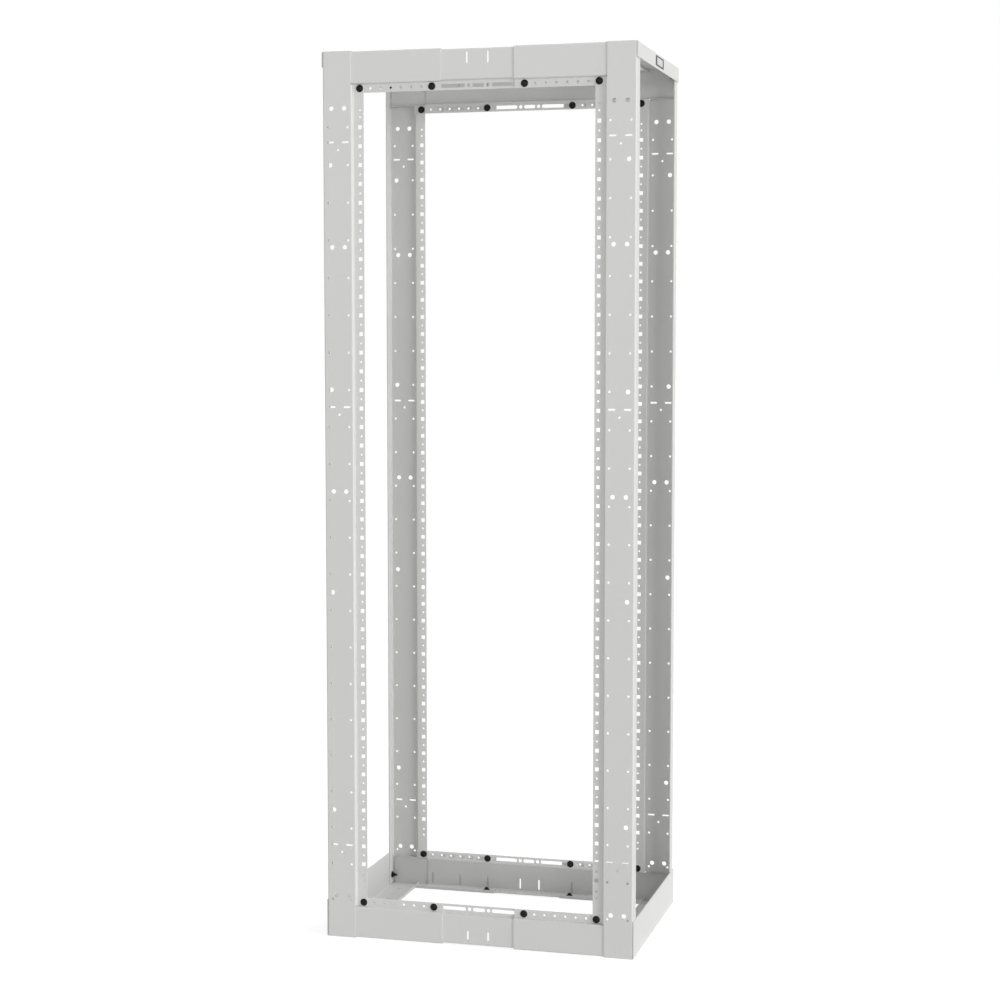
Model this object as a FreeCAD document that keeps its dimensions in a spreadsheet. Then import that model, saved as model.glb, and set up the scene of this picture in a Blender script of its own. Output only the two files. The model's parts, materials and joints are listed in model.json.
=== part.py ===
"""Four post open frame rack with telescoping crossbars, as a parametric FreeCAD document.

Lengths are in millimetres. The origin is the centre of the footprint at floor level, +Z is up,
+X is to the right and the front of the rack faces -Y.

The frame is folded sheet steel. Four posts stand at the corners, each a folded channel whose
inner flange is the equipment rail. Two crossbars join the posts at the top and two at the bottom,
at the front and at the rear: each crossbar is a middle channel with an outer sleeve over either
end. Four side beams run from front to rear, outside the posts.

The pieces at the front, the left and the bottom are drawn. Those at the rear, the right and the
top are their mirror images, apart from the side beams, which are shallower at the top.
"""
import FreeCAD, Part
import os

import Sketcher

DOCUMENT_NAME = "OpenFrameRack"
SHEET_NAME = "Sizes"

# name, value, what it is
DRIVING_SIZES = [
    ("UnitPitch", 44.45, "one rack unit: the spacing of the square holes"),
    ("SquareCount", 41, "square holes in one rail"),
    ("TopSquareDrop", 178.3, "top of the posts down to the topmost square hole"),
    ("BottomSquareRise", 181.5, "floor up to the lowest square hole"),
    ("HoleLineSpan", 580.4, "left rail hole line to right rail hole line"),
    ("RailDepthSpan", 495.5, "front face of the front rails to rear face of the rear rails"),
    ("SheetThickness", 2.3, "steel sheet of every folded piece"),
    ("BendInside", 1.5, "inside radius of the folds"),
    ("RailEdge", 9.0, "rail hole line to the free edge of the rail"),
    ("RailFold", 16.6, "rail hole line to the fold between rail and web"),
    ("PostSide", 90.0, "rail hole line to the outer side of the post"),
    ("WebStep", 8.75, "the web of a post stands this far outside its rail"),
    ("PostSideDepth", 34.9, "depth of the post's side flange"),
    ("SquareSide", 9.5, "side of the square rail holes"),
    ("RailRoundRadius", 2.6, "small round rail holes"),
    ("WebHoleLine", 52.5, "rail hole line to the centre line of the web's holes"),
    ("WebSmallSpread", 24.4, "web centre line to a small web hole"),
    ("WebSmallRadius", 2.9, "small web holes"),
    ("WebLargeSpread", 15.85, "web centre line to a large hole of a pair"),
    ("WebLargeAlone", 19.8, "web centre line to a large hole that stands alone"),
    ("WebLargeRadius", 5.55, "large web holes"),
    ("SlotSpread", 18.8, "web centre line to the centre of a web slot"),
    ("SlotHalf", 6.6, "centre of a small slot to the centre of its round end"),
    ("SlotRadius", 2.1, "half the width of a small slot"),
    ("BoltHoleRadius", 3.5, "bolt holes"),
    ("BarHeight", 77.3, "end of the posts to the fold at the inner edge of a crossbar's face"),
    ("BarInset", 1.1, "end of the posts to the shelf of a crossbar's sleeve"),
    ("BarFlangeWidth", 20.2, "that fold to the free edge of the crossbar's inner flange"),
    ("BarHoleRise", 10.4, "that fold to the hole line of the inner flange"),
    ("BarShelfDepth", 41.65, "outside of the posts to the inner edge of a sleeve's shelf"),
    ("BarLipHeight", 8.4, "height of the lip on a sleeve's shelf"),
    ("BarShelfHoleDepth", 25.4, "outside of the posts to the hole line of the shelves"),
    ("SleeveEndGap", 4.0, "outer end of a sleeve to the side flange of its post"),
    ("SleeveFlangeEnd", 18.7, "rail hole line to the outer end of a sleeve's inner flange"),
    ("SleeveHoleStart", 25.4, "rail hole line to the outermost small hole of a sleeve"),
    ("SleeveHolePitch", 25.4, "spacing of those holes, and on to the clamping bolt"),
    ("SleeveHoleCount", 6, "small holes in one sleeve"),
    ("SleeveBoltReach", 23.5, "clamping bolt to the inner end of a sleeve"),
    ("BarHoleRadius", 3.0, "small holes of the crossbars"),
    ("MiddleBarGap", 10.8, "rail hole line to the end of the middle bar"),
    ("SleeveSlotHalf", 6.5, "centre to round end's centre of the slots behind the small holes"),
    ("LongSlotRadius", 4.5, "half the width of the middle bar's long slots and round holes"),
    ("CentreSlotHalf", 10.5, "middle of the rack to the centre of the centre slot's round end"),
    ("RoundSpread", 23.6, "middle of the rack to the round holes beside the centre slot"),
    ("LongSlotSpread", 66.8, "middle of the rack to the centre of a long slot"),
    ("LongSlotHalf", 30.2, "centre of a long slot to the centre of its round end"),
    ("FaceSlotHeight", 24.0, "end of the posts to the middle of the upright slots"),
    ("FaceSlotHalf", 11.5, "centre of an upright slot to the centre of its round end"),
    ("ShelfHoleFirst", 25.4, "middle of the rack to the first shelf hole of the middle bar"),
    ("ShelfHolePitch", 12.7, "spacing of those shelf holes"),
    ("ShelfHoleCount", 6, "shelf holes on one side of the middle"),
    ("BeamFloorHeight", 89.6, "height of a bottom side beam"),
    ("BeamTopHeight", 36.6, "height of a top side beam"),
    ("BeamShelfEdge", 15.0, "rail hole line to the inner edge of a side beam's shelf"),
    ("BeamLipHeight", 9.0, "height of the lip on a side beam's shelf"),
    ("BeamBoltHeight", 26.5, "end of the posts to the bolts of a side beam"),
    ("BeamBoltDepth", 15.25, "outside of the posts to the bolts of a side beam"),
    ("BeamSlotFirst", 95.25, "middle of the beam to its first shelf slot"),
    ("BeamSlotPitch", 50.8, "spacing of the shelf slots"),
    ("BeamRoundLine", 7.5, "inner edge of a side beam's shelf to its row of small holes"),
]

# Heights of the web's holes, counted in rack units below the topmost square hole.
LARGE_PAIR_UNITS = [-1, 6.36, 19.5, 41.78]
LARGE_ALONE_UNITS = [2, 14, 25, 37]
SLOT_PAIR_UNITS = [0.79, 14.93, 38.93]
CENTRE_HOLE_UNITS = [1.2, 15.34, 39.34]
# The small web holes are two units apart. Their outer row leaves out the places of large holes.
SMALL_HOLE_UNITS = 2
INNER_ROW = [("inner_row", 0, 22)]
OUTER_ROW = [("outer_top", 0, 1), ("outer_upper", 2, 5), ("outer_lower", 8, 14)]
# Round holes beyond the ends of a rail's row of squares.
ROUNDS_ABOVE = [23.8, 39.7]
ROUNDS_BELOW = [26.6, 42.5]
# Upright slots of the middle bar, from the middle of the rack.
FACE_SLOT_SPREADS = [25.4, 114.3, 190.5, 266.7]
# Slots and small round holes in one end of a side beam's shelf.
BEAM_SLOT_COUNT = 3
BEAM_ROUND_SPREADS = [148.0, 222.0]


class Size:
    """A length together with the expression that drives it from the spreadsheet."""

    def __init__(self, value, text):
        self.value = value
        self.text = text

    @staticmethod
    def of(item):
        """Return item as a Size; a bare number is its own expression."""
        if isinstance(item, Size):
            return item
        return Size(float(item), repr(float(item)))

    def __add__(self, other):
        other = Size.of(other)
        return Size(self.value + other.value, f"({self.text} + {other.text})")

    def __sub__(self, other):
        other = Size.of(other)
        return Size(self.value - other.value, f"({self.text} - {other.text})")

    def __mul__(self, factor):
        factor = Size.of(factor)
        return Size(self.value * factor.value, f"({self.text} * {factor.text})")

    def __neg__(self):
        return Size(-self.value, f"(-1 * {self.text})")


def make_sheet(document):
    """Fill the spreadsheet and return each driving dimension as a Size, by its alias."""
    sheet = document.addObject("Spreadsheet::Sheet", SHEET_NAME)
    sizes = {}
    for row, (alias, value, meaning) in enumerate(DRIVING_SIZES, start=1):
        sheet.set(f"A{row}", alias)
        sheet.set(f"B{row}", str(value))
        sheet.set(f"C{row}", meaning)
        sheet.setAlias(f"B{row}", alias)
        sizes[alias] = Size(float(value), f"{SHEET_NAME}.{alias}")
    document.recompute()
    return sizes


def rack_height(sizes):
    """Return the height of the posts, which the rack units and the two ends make up."""
    units = sizes["UnitPitch"] * (sizes["SquareCount"] - 1)
    return sizes["BottomSquareRise"] + units + sizes["TopSquareDrop"]


class Outline:
    """A sketch whose shapes and driven dimensions are gathered first and then added together."""

    def __init__(self, sketch):
        self.sketch = sketch
        self.constraints = []
        self.driven = []

    def tie(self, *terms):
        """Add a constraint between points or curves."""
        self.constraints.append(Sketcher.Constraint(*terms))

    def drive(self, size, *terms):
        """Add a dimension that follows a Size."""
        self.driven.append((len(self.constraints), size.text))
        self.constraints.append(Sketcher.Constraint(*terms, size.value))

    def fix_point(self, geometry, position, point):
        """Drive a point's two distances from the sketch's origin."""
        self.drive(point[0], "DistanceX", -1, 1, geometry, position)
        self.drive(point[1], "DistanceY", -1, 1, geometry, position)

    def polygon(self, corners):
        """Add a closed outline whose corners are pairs of Sizes."""
        points = [FreeCAD.Vector(x.value, y.value, 0) for x, y in corners]
        first = self.sketch.GeometryCount
        for index, point in enumerate(points):
            self.sketch.addGeometry(Part.LineSegment(point, points[(index + 1) % len(points)]))
        for index, corner in enumerate(corners):
            self.tie("Coincident", first + index, 2, first + (index + 1) % len(points), 1)
            self.fix_point(first + index, 1, corner)

    def rectangle(self, low, high):
        """Add a rectangle from two opposite corners."""
        self.polygon([low, (high[0], low[1]), high, (low[0], high[1])])

    def circle(self, centre, radius):
        """Add a round hole."""
        middle = FreeCAD.Vector(centre[0].value, centre[1].value, 0)
        circle = Part.Circle(middle, FreeCAD.Vector(0, 0, 1), radius.value)
        index = self.sketch.addGeometry(circle)
        self.fix_point(index, 3, centre)
        self.drive(radius, "Radius", index)

    def slot(self, centre, half, radius, upright=False):
        """Add a round-ended slot: half is from its centre to the centre of a round end."""
        x, y = centre
        ends = [(x, y - half), (x, y + half)] if upright else [(x - half, y), (x + half, y)]
        low, high = [FreeCAD.Vector(end[0].value, end[1].value, 0) for end in ends]
        run = (high - low).normalize()
        side = FreeCAD.Vector(-run.y, run.x, 0) * radius.value
        tip = run * radius.value
        first = self.sketch.GeometryCount
        self.sketch.addGeometry(Part.Arc(low + side, low - tip, low - side))
        self.sketch.addGeometry(Part.LineSegment(low - side, high - side))
        self.sketch.addGeometry(Part.Arc(high - side, high + tip, high + side))
        self.sketch.addGeometry(Part.LineSegment(high + side, low + side))
        for curve in range(4):
            self.tie("Tangent", first + curve, 2, first + (curve + 1) % 4, 1)
        self.fix_point(first, 3, ends[0])
        self.fix_point(first + 2, 3, ends[1])
        self.drive(radius, "Radius", first)

    def close(self):
        """Add the gathered constraints, bind their expressions and return the sketch."""
        indices = self.sketch.addConstraint(self.constraints)
        for position, text in self.driven:
            self.sketch.setExpression(f"Constraints[{indices[position]}]", text)
        return self.sketch


class FoldedPiece:
    """One piece of folded sheet: a PartDesign body made of an extruded section with holes cut."""

    def __init__(self, document, label):
        self.document = document
        self.body = document.addObject("PartDesign::Body", label)
        self.body.Label = label

    def origin_feature(self, role):
        """Return the body's own origin plane or axis with this role."""
        for feature in self.body.Origin.OriginFeatures:
            if feature.Role == role:
                return feature
        raise ValueError(f"no origin feature {role}")

    def outline(self, role, name, offset=None):
        """Start an outline on an origin plane, optionally moved along the plane's normal."""
        sketch = self.body.newObject("Sketcher::SketchObject", f"{self.body.Name}_{name}_sketch")
        sketch.AttachmentSupport = (self.origin_feature(role), [""])
        sketch.MapMode = "FlatFace"
        if offset is not None:
            sketch.setExpression(".AttachmentOffset.Base.z", offset.text)
        return Outline(sketch)

    def extrude(self, outline, length, name):
        """Pad the section by a driven length along its normal."""
        pad = self.body.newObject("PartDesign::Pad", f"{self.body.Name}_{name}")
        pad.Profile = outline.close()
        pad.setExpression("Length", length.text)
        self.document.recompute()
        return pad

    def round_folds(self, base, corners, radius, name, direction):
        """Fillet the straight edges that run along direction through the given corners."""
        names = []
        for index, edge in enumerate(base.Shape.Edges, start=1):
            if is_fold_edge(edge, corners, direction):
                names.append(f"Edge{index}")
        if len(names) != len(corners):
            raise RuntimeError(f"{self.body.Label}: {len(names)} fold edges for {name}")
        fillet = self.body.newObject("PartDesign::Fillet", f"{self.body.Name}_{name}")
        fillet.Base = (base, names)
        fillet.setExpression("Radius", radius.text)
        self.document.recompute()
        return fillet

    def cut(self, outline, name, side_type="Symmetric"):
        """Cut an outline right through the sheet, and check that it cut something."""
        before = self.body.Shape.Volume
        pocket = self.body.newObject("PartDesign::Pocket", f"{self.body.Name}_{name}")
        pocket.Profile = outline.close()
        pocket.Type = "ThroughAll"
        pocket.SideType = side_type
        self.document.recompute()
        if not self.body.Shape.Volume < before:
            raise RuntimeError(f"{self.body.Label}: {name} cut nothing")
        return pocket

    def repeat(self, pocket, role, pitch, count, name, backwards=False):
        """Repeat a cut along an origin axis; the pattern becomes the body's tip."""
        before = self.body.Shape.Volume
        pattern = self.body.newObject("PartDesign::LinearPattern", f"{self.body.Name}_{name}")
        pattern.Originals = [pocket]
        pattern.Direction = (self.origin_feature(role), [""])
        pattern.Reversed = backwards
        pattern.setExpression("Length", (pitch * (count - 1)).text)
        pattern.setExpression("Occurrences", count.text)
        self.body.Tip = pattern
        self.document.recompute()
        if not self.body.Shape.Volume < before:
            raise RuntimeError(f"{self.body.Label}: {name} repeated nothing")
        return pattern

    def place(self, base):
        """Put the body's origin at a base point of the rack that follows the sheet."""
        point = FreeCAD.Vector(*[part.value for part in base])
        self.body.Placement = FreeCAD.Placement(point, FreeCAD.Rotation())
        for axis, part in zip("xyz", base):
            self.body.setExpression(f".Placement.Base.{axis}", part.text)
        self.document.recompute()
        return self.body


def is_fold_edge(edge, corners, direction):
    """Tell whether an edge runs along direction (0, 1 or 2) through one of the corners."""
    if len(edge.Vertexes) != 2:
        return False
    start, end = (vertex.Point for vertex in edge.Vertexes)
    across = [axis for axis in range(3) if axis != direction]
    if any(abs(start[axis] - end[axis]) > 1e-6 for axis in across):
        return False
    for corner in corners:
        if all(abs(start[axis] - part.value) < 1e-6 for axis, part in zip(across, corner)):
            return True
    return False


class Post:
    """The front left post. Its origin is on the rail's hole line, at the floor, on the rail's face.

    The rail's free edge is on the +X side, and the web and the side flange are on the -X side.
    """

    def __init__(self, document, sizes, label):
        self.sizes = sizes
        self.height = rack_height(sizes)
        self.piece = FoldedPiece(document, label)

    def below_top_square(self, distance):
        """Return the height of a point below the topmost square hole."""
        return self.height - self.sizes["TopSquareDrop"] - distance

    def make_profile(self):
        """Extrude the section over the full height and round its folds."""
        s = self.sizes
        sheet = s["SheetThickness"]
        zero = Size.of(0)
        rail_edge = s["RailEdge"]
        fold = -s["RailFold"]
        side = -s["PostSide"]
        face = -s["WebStep"]
        flange_end = s["PostSideDepth"] - s["WebStep"]
        corners = {
            "rail_front": (rail_edge, zero),
            "rail_back": (rail_edge, sheet),
            "fold_back": (fold - sheet, sheet),
            "web_back_inner": (fold - sheet, face + sheet),
            "web_back_outer": (side + sheet, face + sheet),
            "flange_inner": (side + sheet, flange_end),
            "flange_outer": (side, flange_end),
            "web_front_outer": (side, face),
            "web_front_inner": (fold, face),
            "fold_front": (fold, zero),
        }
        section = self.piece.outline("XY_Plane", "section")
        section.polygon(list(corners.values()))
        pad = self.piece.extrude(section, self.height, "profile")
        outside = [corners[name] for name in ("fold_back", "web_front_outer", "web_front_inner")]
        inside = [corners[name] for name in ("web_back_inner", "web_back_outer", "fold_front")]
        outer_radius = s["BendInside"] + sheet
        rounded = self.piece.round_folds(pad, outside, outer_radius, "outer_folds", 2)
        self.piece.round_folds(rounded, inside, s["BendInside"], "inner_folds", 2)

    def trim_ends(self):
        """Cut the rail back from the crossbars, and the side flange from the side beams."""
        s = self.sizes
        sheet = s["SheetThickness"]
        above = self.height + sheet
        relief = sheet + s["BendInside"]
        rail_from = -(s["RailFold"] + relief)
        rail_to = s["RailEdge"] + sheet
        bar_fold = s["BarHeight"] + s["BendInside"]
        rail_ends = self.piece.outline("XZ_Plane", "rail_ends")
        rail_ends.rectangle((rail_from, -sheet), (rail_to, bar_fold))
        rail_ends.rectangle((rail_from, self.height - bar_fold), (rail_to, above))
        self.piece.cut(rail_ends, "rail_ends")
        flange_from = relief - s["WebStep"]
        flange_to = s["PostSideDepth"]
        flange_ends = self.piece.outline("YZ_Plane", "flange_ends")
        flange_ends.rectangle((flange_from, -sheet), (flange_to, relief))
        flange_ends.rectangle((flange_from, self.height - relief), (flange_to, above))
        self.piece.cut(flange_ends, "flange_ends")

    def cut_bolt_holes(self):
        """Cut the holes of the bolts that hold the side beams and the crossbars."""
        s = self.sizes
        depth = s["BeamBoltDepth"] - s["WebStep"]
        beam_bolts = self.piece.outline("YZ_Plane", "beam_bolts")
        for height in (s["BeamBoltHeight"], self.height - s["BeamBoltHeight"]):
            beam_bolts.circle((depth, height), s["BoltHoleRadius"])
        self.piece.cut(beam_bolts, "beam_bolts")
        bar_hole = s["BarHeight"] + s["BarHoleRise"]
        bar_bolts = self.piece.outline("XZ_Plane", "bar_bolts")
        for height in (bar_hole, self.height - bar_hole):
            bar_bolts.circle((Size.of(0), height), s["BoltHoleRadius"])
        self.piece.cut(bar_bolts, "bar_bolts")

    def cut_web_holes(self):
        """Cut the web's large holes, slots and rows of small holes."""
        s = self.sizes
        unit = s["UnitPitch"]
        line = -s["WebHoleLine"]
        large = self.piece.outline("XZ_Plane", "large_holes")
        for units in LARGE_PAIR_UNITS:
            for spread in (-s["WebLargeSpread"], s["WebLargeSpread"]):
                centre = (line + spread, self.below_top_square(unit * units))
                large.circle(centre, s["WebLargeRadius"])
        for units in LARGE_ALONE_UNITS:
            centre = (line - s["WebLargeAlone"], self.below_top_square(unit * units))
            large.circle(centre, s["WebLargeRadius"])
        self.piece.cut(large, "large_holes")
        slots = self.piece.outline("XZ_Plane", "slots")
        for units in SLOT_PAIR_UNITS:
            for spread in (-s["SlotSpread"], s["SlotSpread"]):
                centre = (line + spread, self.below_top_square(unit * units))
                slots.slot(centre, s["SlotHalf"], s["SlotRadius"])
        for units in CENTRE_HOLE_UNITS:
            slots.circle((line, self.below_top_square(unit * units)), s["WebSmallRadius"])
        self.piece.cut(slots, "slots")
        for name, first, count in OUTER_ROW:
            self.cut_small_row(name, line - s["WebSmallSpread"], first, count)
        for name, first, count in INNER_ROW:
            self.cut_small_row(name, line + s["WebSmallSpread"], first, count)

    def cut_small_row(self, name, position, first, count):
        """Cut a row of small web holes: first is its number of places below the topmost one."""
        pitch = self.sizes["UnitPitch"] * SMALL_HOLE_UNITS
        row = self.piece.outline("XZ_Plane", name)
        row.circle((position, self.below_top_square(pitch * first)), self.sizes["WebSmallRadius"])
        hole = self.piece.cut(row, name)
        if count > 1:
            self.piece.repeat(hole, "Z_Axis", pitch, Size.of(count), f"{name}_pattern", True)

    def cut_rail_holes(self):
        """Cut the square holes, one to a rack unit, and the small round ones between them."""
        s = self.sizes
        zero = Size.of(0)
        unit = s["UnitPitch"]
        lowest = unit * (s["SquareCount"] - 1)
        ends = self.piece.outline("XZ_Plane", "rail_end_rounds")
        for rise in ROUNDS_ABOVE:
            ends.circle((zero, self.below_top_square(Size.of(-rise))), s["RailRoundRadius"])
        for drop in ROUNDS_BELOW:
            ends.circle((zero, self.below_top_square(lowest + drop)), s["RailRoundRadius"])
        self.piece.cut(ends, "rail_end_rounds")
        rounds = self.piece.outline("XZ_Plane", "rail_rounds")
        rounds.circle((zero, self.below_top_square(unit * 0.5)), s["RailRoundRadius"])
        hole = self.piece.cut(rounds, "rail_rounds")
        count = s["SquareCount"] - 1
        self.piece.repeat(hole, "Z_Axis", unit, count, "rail_rounds_pattern", True)
        half = s["SquareSide"] * 0.5
        squares = self.piece.outline("XZ_Plane", "squares")
        squares.rectangle((-half, self.below_top_square(half)), (half, self.below_top_square(-half)))
        square = self.piece.cut(squares, "squares")
        self.piece.repeat(square, "Z_Axis", unit, s["SquareCount"], "squares_pattern", True)

    def build(self):
        """Build the post and return its body."""
        self.make_profile()
        self.trim_ends()
        self.cut_bolt_holes()
        self.cut_web_holes()
        self.cut_rail_holes()
        hole_line = self.sizes["HoleLineSpan"] * -0.5
        rail_face = self.sizes["RailDepthSpan"] * -0.5
        return self.piece.place((hole_line, rail_face, Size.of(0)))


class Crossbar:
    """What the pieces of the front bottom crossbar share.

    Their origin is at the floor, in the middle of the rack's width, on the front rails' face.
    """

    def __init__(self, document, sizes, label):
        self.sizes = sizes
        self.hole_line = sizes["HoleLineSpan"] * 0.5
        self.flange_hole_height = sizes["BarHeight"] + sizes["BarHoleRise"]
        self.shelf_hole_depth = sizes["BarShelfHoleDepth"] - sizes["WebStep"]
        self.piece = FoldedPiece(document, label)

    def sleeve_position(self, places):
        """Return the distance from the middle of the rack to a place in the sleeves' hole row.

        The outermost small hole is place 0. The clamping bolt comes after the innermost one.
        """
        s = self.sizes
        return self.hole_line - s["SleeveHoleStart"] - s["SleeveHolePitch"] * places

    def bolt_spread(self):
        """Return the distance from the middle of the rack to a clamping bolt."""
        return self.sleeve_position(self.sizes["SleeveHoleCount"])

    def make_profile(self, nesting, has_lip, start, length):
        """Extrude the channel from start: nesting counts the sheets outside its inner flange."""
        s = self.sizes
        sheet = s["SheetThickness"]
        inner = sheet * (nesting - 1)
        rail = sheet * nesting
        face = rail - s["WebStep"]
        low = s["BarInset"] + inner
        fold = s["BarHeight"] - inner
        edge = s["BarHeight"] + s["BarFlangeWidth"]
        shelf_end = s["BarShelfDepth"] - s["WebStep"] - inner
        corners = {
            "flange_edge": (rail, edge),
            "fold_front": (rail, fold),
            "face_top": (face, fold),
            "face_bottom": (face, low),
            "shelf_edge": (shelf_end, low),
        }
        if has_lip:
            lip_top = s["BarInset"] + s["BarLipHeight"]
            corners["lip_top"] = (shelf_end, lip_top)
            corners["lip_top_back"] = (shelf_end - sheet, lip_top)
            corners["lip_root"] = (shelf_end - sheet, low + sheet)
        else:
            corners["shelf_edge_back"] = (shelf_end, low + sheet)
        corners["face_bottom_back"] = (face + sheet, low + sheet)
        corners["face_top_back"] = (face + sheet, fold - sheet)
        corners["fold_back"] = (rail + sheet, fold - sheet)
        corners["flange_edge_back"] = (rail + sheet, edge)
        outline = self.piece.outline("YZ_Plane", "section", start)
        outline.polygon(list(corners.values()))
        pad = self.piece.extrude(outline, length, "profile")
        outside = ["face_top", "face_bottom", "fold_back"]
        inside = ["fold_front", "face_bottom_back", "face_top_back"]
        if has_lip:
            outside.append("shelf_edge")
            inside.append("lip_root")
        outer_corners = [corners[name] for name in outside]
        inner_corners = [corners[name] for name in inside]
        outer_radius = s["BendInside"] + sheet
        rounded = self.piece.round_folds(pad, outer_corners, outer_radius, "outer_folds", 0)
        self.piece.round_folds(rounded, inner_corners, s["BendInside"], "inner_folds", 0)

    def place(self):
        """Put the piece on the front rails' face."""
        return self.piece.place((Size.of(0), self.sizes["RailDepthSpan"] * -0.5, Size.of(0)))


class Sleeve(Crossbar):
    """The right sleeve: it is bolted behind the post and slides over the middle bar."""

    def __init__(self, document, sizes, label):
        super().__init__(document, sizes, label)
        gap = sizes["SheetThickness"] + sizes["SleeveEndGap"]
        self.outer_end = self.hole_line + sizes["PostSide"] - gap

    def trim_outer_end(self):
        """Cut the inner flange and the shelf back, so that only the face reaches the post's side."""
        s = self.sizes
        sheet = s["SheetThickness"]
        beyond = self.outer_end + sheet
        flange_end = self.hole_line + s["SleeveFlangeEnd"]
        edge = s["BarHeight"] + s["BarFlangeWidth"] + sheet
        flange = self.piece.outline("XZ_Plane", "flange_end")
        flange.rectangle((flange_end, s["BarHeight"]), (beyond, edge))
        self.piece.cut(flange, "flange_end")
        shelf_end = self.hole_line + s["BeamShelfEdge"]
        face_back = sheet * 2 - s["WebStep"]
        above_lip = s["BarInset"] + s["BarLipHeight"] + sheet
        shelf = self.piece.outline("XY_Plane", "shelf_end", above_lip)
        shelf.rectangle((shelf_end, face_back), (beyond, s["BarShelfDepth"]))
        self.piece.cut(shelf, "shelf_end", "One side")

    def cut_holes(self):
        """Cut the bolt holes and the row of small holes in the inner flange."""
        s = self.sizes
        row = self.flange_hole_height
        bolts = self.piece.outline("XZ_Plane", "flange_bolts")
        for spread in (self.bolt_spread(), self.hole_line):
            bolts.circle((spread, row), s["BoltHoleRadius"])
        self.piece.cut(bolts, "flange_bolts")
        shelf_bolt = self.piece.outline("XY_Plane", "shelf_bolt")
        shelf_bolt.circle((self.bolt_spread(), self.shelf_hole_depth), s["BoltHoleRadius"])
        self.piece.cut(shelf_bolt, "shelf_bolt")
        holes = self.piece.outline("XZ_Plane", "flange_holes")
        holes.circle((self.sleeve_position(0), row), s["BarHoleRadius"])
        hole = self.piece.cut(holes, "flange_holes")
        pitch = s["SleeveHolePitch"]
        self.piece.repeat(hole, "X_Axis", pitch, s["SleeveHoleCount"], "flange_holes_pattern", True)

    def build(self):
        """Build the sleeve and return its body."""
        inner_end = self.bolt_spread() - self.sizes["SleeveBoltReach"]
        self.make_profile(1, True, inner_end, self.outer_end - inner_end)
        self.trim_outer_end()
        self.cut_holes()
        return self.place()


class MiddleBar(Crossbar):
    """The middle of a crossbar, which nests inside both sleeves."""

    def cut_flange_slots(self):
        """Cut the slots and round holes of the inner flange, and its bolt holes.

        Behind each small hole of a sleeve there is a slot, and a round hole behind the outermost.
        """
        s = self.sizes
        row = self.flange_hole_height
        slots = self.piece.outline("XZ_Plane", "flange_slots")
        slots.slot((Size.of(0), row), s["CentreSlotHalf"], s["LongSlotRadius"])
        for side in (-1, 1):
            slots.circle((s["RoundSpread"] * side, row), s["LongSlotRadius"])
            centre = (s["LongSlotSpread"] * side, row)
            slots.slot(centre, s["LongSlotHalf"], s["LongSlotRadius"])
            slots.circle((self.bolt_spread() * side, row), s["BoltHoleRadius"])
            slots.circle((self.sleeve_position(0) * side, row), s["LongSlotRadius"])
        self.piece.cut(slots, "flange_slots")
        pitch = s["SleeveHolePitch"]
        count = s["SleeveHoleCount"] - 1
        for name, side in (("sleeve_slots_left", -1), ("sleeve_slots_right", 1)):
            outline = self.piece.outline("XZ_Plane", name)
            centre = (self.sleeve_position(1) * side, row)
            outline.slot(centre, s["SleeveSlotHalf"], s["LongSlotRadius"])
            slot = self.piece.cut(outline, name)
            self.piece.repeat(slot, "X_Axis", pitch, count, f"{name}_pattern", side > 0)

    def cut_face_slots(self):
        """Cut the upright slots of the face."""
        s = self.sizes
        slots = self.piece.outline("XZ_Plane", "face_slots")
        for spread in FACE_SLOT_SPREADS:
            for side in (-1, 1):
                centre = (Size.of(spread * side), s["FaceSlotHeight"])
                slots.slot(centre, s["FaceSlotHalf"], s["SlotRadius"], upright=True)
        self.piece.cut(slots, "face_slots")

    def cut_shelf_holes(self):
        """Cut the bolt holes of the shelf and its two rows of small holes."""
        s = self.sizes
        depth = self.shelf_hole_depth
        bolts = self.piece.outline("XY_Plane", "shelf_bolts")
        for side in (-1, 1):
            bolts.circle((self.bolt_spread() * side, depth), s["BoltHoleRadius"])
        self.piece.cut(bolts, "shelf_bolts")
        pitch = s["ShelfHolePitch"]
        count = s["ShelfHoleCount"]
        for name, side in (("shelf_left", -1), ("shelf_right", 1)):
            row = self.piece.outline("XY_Plane", name)
            row.circle((s["ShelfHoleFirst"] * side, depth), s["BarHoleRadius"])
            hole = self.piece.cut(row, name)
            self.piece.repeat(hole, "X_Axis", pitch, count, f"{name}_pattern", side < 0)

    def build(self):
        """Build the middle bar and return its body."""
        half = self.hole_line - self.sizes["MiddleBarGap"]
        self.make_profile(2, False, -half, half * 2)
        self.cut_flange_slots()
        self.cut_face_slots()
        self.cut_shelf_holes()
        return self.place()


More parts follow.
